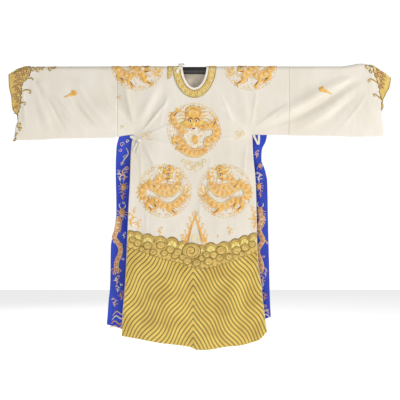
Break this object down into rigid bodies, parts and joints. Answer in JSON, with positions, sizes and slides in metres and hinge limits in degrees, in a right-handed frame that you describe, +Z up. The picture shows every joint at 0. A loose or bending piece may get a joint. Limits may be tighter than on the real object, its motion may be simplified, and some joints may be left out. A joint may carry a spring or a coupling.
{
  "type": "chinese stage robe on a rod",
  "caption": "Full-length robe with wide sleeves, round collar, embroidered wave hem and blue side wings, hung on a straight rod.",
  "frame": {"origin": "on the rod's axis, in the middle of the robe's neck opening", "axes": "+Z up, the front of the robe faces -Y, +X to the right of someone who looks at the front"},
  "size_m": [1.9079, 0.0774, 1.4292],
  "materials": {
    "rod": "black rod with a soft sheen",
    "satin": "cream satin with a soft sheen",
    "gold_thread": "couched gold thread over satin",
    "blue_satin": "royal blue satin with pink and gold embroidery"
  },
  "bodies": {
    "root": {"rod": "rod", "front": "satin", "back": "satin", "sleeve_left": "satin", "sleeve_right": "satin", "collar_rim": "satin", "collar_band": "gold_thread", "collar_tab": "gold_thread", "collar_knot": "satin", "collar_tie": "satin", "underarm_tie_band": "satin", "underarm_tie_long": "satin", "underarm_tie_short": "satin", "underarm_knot": "satin", "underarm_loop": "satin", "wing_left": "blue_satin", "wing_right": "blue_satin"}
  },
  "joints": []
}
